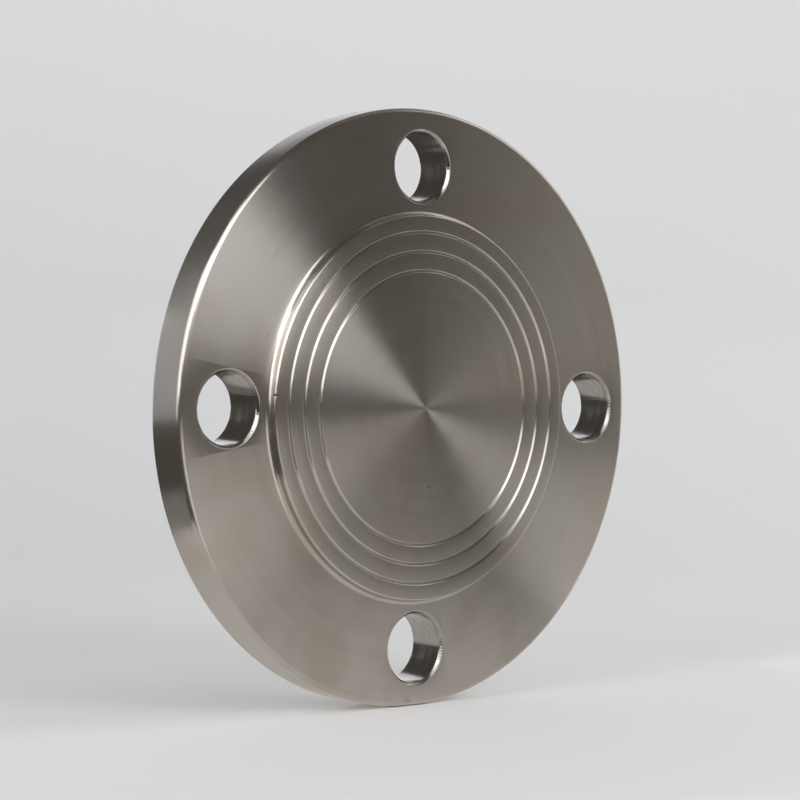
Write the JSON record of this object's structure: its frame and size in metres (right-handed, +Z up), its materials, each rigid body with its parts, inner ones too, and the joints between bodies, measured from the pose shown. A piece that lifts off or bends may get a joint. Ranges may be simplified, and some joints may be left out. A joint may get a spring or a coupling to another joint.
{
  "type": "blind flange",
  "caption": "Round blank flange with a raised gasket face, concentric sealing grooves and a ring of bolt holes, used to close the end of a pipe or a vessel nozzle",
  "frame": {"origin": "centre of the raised gasket face", "axes": "the flange's axis is Y and the gasket face looks towards -Y; +Z is up, with one bolt hole at the top; +X is to the right when facing the gasket face. The flange stands on its rim at z = -0.0775."},
  "size_m": [0.155, 0.014, 0.155],
  "materials": {
    "turned_steel": "fine turned, satin"
  },
  "bodies": {
    "root": {"blind_flange": "turned_steel"}
  },
  "joints": []
}
